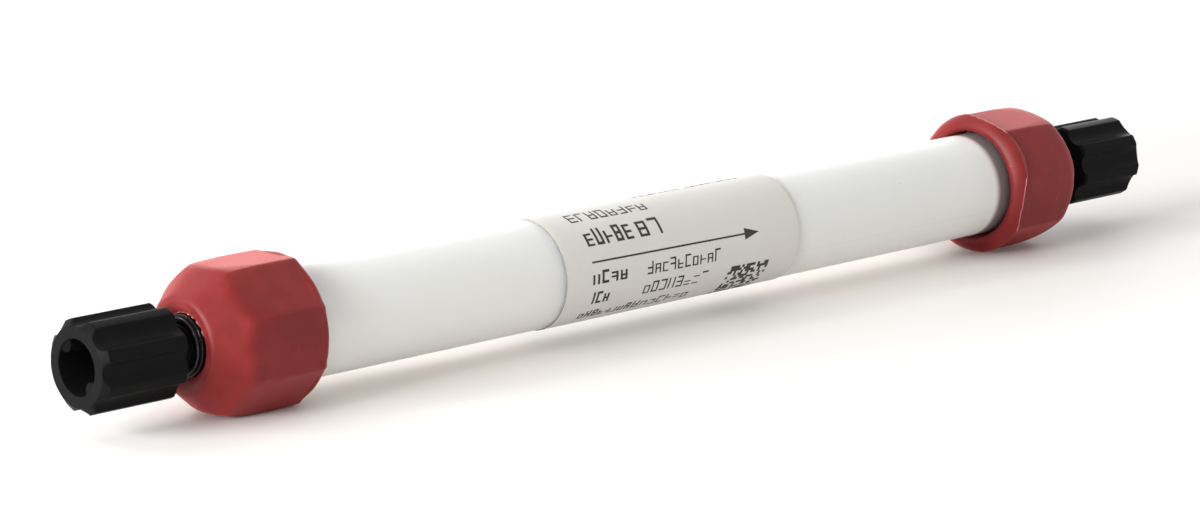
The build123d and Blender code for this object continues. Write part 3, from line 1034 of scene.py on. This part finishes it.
def backdrop_rays(tree):
    """1 for the rays that show the backdrop or its reflection, and 0 for those that light the object."""
    kinds = ["Is Camera Ray", "Is Glossy Ray", "Is Transmission Ray"]
    camera, mirrored, passed = [tree.node("ShaderNodeLightPath", output=kind) for kind in kinds]
    return 1 - (1 - camera) * (1 - mirrored) * (1 - passed)


def make_floor(caps):
    """Pale floor that touches the lowest point of each cap."""
    (inlet_x, _, inlet_z), (outlet_x, _, outlet_z) = [
        min((vertex.co for vertex in cap.vertices), key=lambda place: place.z) for cap in caps
    ]
    slope = (outlet_z - inlet_z) / (outlet_x - inlet_x)
    corners = [(-1, -1), (1, -1), (1, 1), (-1, 1)]
    places = [
        (FLOOR_REACH * x, FLOOR_REACH * y, inlet_z + slope * (FLOOR_REACH * x - inlet_x))
        for x, y in corners
    ]
    mesh = bpy.data.meshes.new("floor")
    mesh.from_pydata(places, [], [(0, 1, 2, 3)])
    finish = Finish("floor_pale", Roughness=0.6, Specular_IOR_Level=0.1)
    finish.set("Base Color", (0.9, 0.88, 0.855, 1))
    away = finish.apart()[1].size().rise(GLOW_FROM, GLOW_TO)
    glow = finish.node("ShaderNodeEmission", None, {"Strength": backdrop_rays(finish) * away * GLOW})
    shaded = Wire(finish, finish.shader.outputs[0])
    both = finish.node("ShaderNodeAddShader", None, {0: shaded, 1: glow})
    finish.feed(finish.nodes["Material Output"].inputs["Surface"], both)
    mesh.materials.append(finish.material)
    floor = bpy.data.objects.new("floor", mesh)
    bpy.context.scene.collection.objects.link(floor)


def make_lamp(name, place, aim, width, height, power):
    """Soft rectangular lamp; place and aim in metres."""
    data = bpy.data.lights.new(name, "AREA")
    data.shape = "RECTANGLE"
    data.size, data.size_y = width, height
    data.energy = power
    lamp = bpy.data.objects.new(name, data)
    lamp.location = place
    lamp.rotation_euler = (Vector(aim) - Vector(place)).to_track_quat("-Z", "Y").to_euler()
    bpy.context.scene.collection.objects.link(lamp)


def make_surroundings():
    """White surroundings for the camera and for reflections, and a weak fill for the object."""
    world = bpy.data.worlds.new("studio")
    bpy.context.scene.world = world
    world.use_nodes = True
    tree = Tree(world.node_tree)
    strength = FILL + (1 - FILL) * backdrop_rays(tree)
    background = world.node_tree.nodes["Background"]
    background.inputs["Color"].default_value = (1, 1, 1, 1)
    tree.feed(background.inputs["Strength"], strength)


def make_camera():
    """Camera in front of the inlet end, with a long lens."""
    data = bpy.data.cameras.new("camera")
    data.lens = CAMERA_LENS
    data.sensor_width = SENSOR_WIDTH
    data.clip_start = NEAREST_SEEN
    camera = bpy.data.objects.new("camera", data)
    camera.location = CAMERA_PLACE
    camera.rotation_euler = Euler([math.radians(angle) for angle in CAMERA_TURN])
    bpy.context.scene.collection.objects.link(camera)
    bpy.context.scene.camera = camera


make_tube(tube_milky())
make_label(label_paper())
make_print(label_ink())
red, gloss_black, satin_black = cap_red(), adapter_black(), plug_black()
caps = []
for seed, (end, side) in enumerate(ENDS.items(), start=1):
    make_adapter(end, side, gloss_black)
    caps.append(make_cap(end, side, seed, red))
    make_plug(end, side, satin_black)
dress_inner_pieces()
make_floor(caps)
for name, lamp in LAMPS.items():
    make_lamp(name, *lamp)
make_surroundings()
make_camera()
bpy.context.scene.view_settings.view_transform = "Standard"
